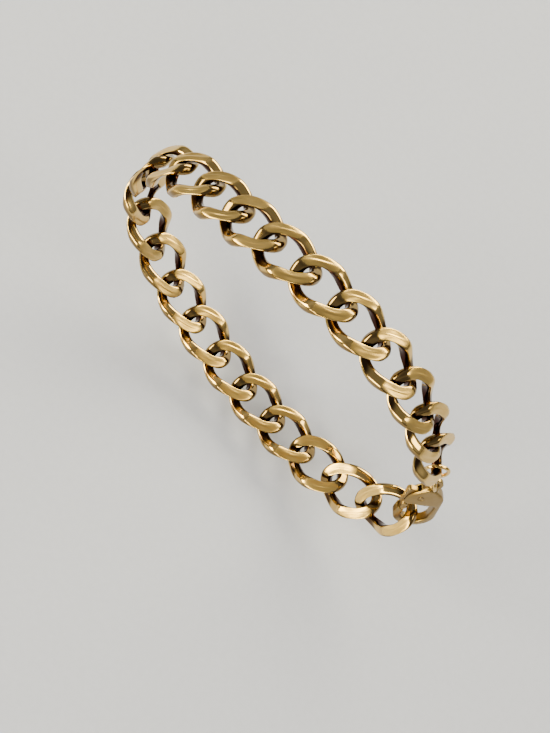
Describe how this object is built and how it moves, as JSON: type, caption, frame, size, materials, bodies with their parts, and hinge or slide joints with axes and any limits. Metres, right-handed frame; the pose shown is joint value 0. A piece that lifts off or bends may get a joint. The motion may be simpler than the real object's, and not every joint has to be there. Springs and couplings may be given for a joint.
{
  "type": "curb link bracelet",
  "caption": "Flat curb link chain bracelet of twisted gold-coloured links, closed with a lobster clasp on jump rings, in the round form it has on a wrist.",
  "frame": {"origin": "middle of the hollow for the wrist", "axes": "+Z out of the back of the wrist, +Y up the forearm, +X towards the side where the clasp hangs"},
  "size_m": [0.0714, 0.0149, 0.0499],
  "materials": {
    "link_gold": "polished",
    "ring_gold": "polished",
    "clasp_gold": "polished"
  },
  "bodies": {
    "bracelet": {"link_01": "link_gold", "link_02": "link_gold", "link_03": "link_gold", "link_04": "link_gold", "link_05": "link_gold", "link_06": "link_gold", "link_07": "link_gold", "link_08": "link_gold", "link_09": "link_gold", "link_10": "link_gold", "link_11": "link_gold", "link_12": "link_gold", "link_13": "link_gold", "link_14": "link_gold", "link_15": "link_gold", "link_16": "link_gold", "link_17": "link_gold", "link_18": "link_gold", "link_19": "link_gold", "link_20": "link_gold", "link_21": "link_gold", "link_22": "link_gold", "link_23": "link_gold", "jump_ring_1": "ring_gold", "jump_ring_2": "ring_gold", "clasp_body": "clasp_gold", "clasp_rivet": "clasp_gold"},
    "lever": {"clasp_lever": "clasp_gold"}
  },
  "joints": [
    {"name": "lever_hinge", "type": "hinge", "parent": "bracelet", "child": "lever", "pos_m": [0.03133, 0.00152, -0.0071], "axis": [0.5747, -0.7782, 0.2533], "range_deg": [0, 25], "stiffness_Nm_per_rad": 0.01, "springref_deg": -11.46}
  ]
}
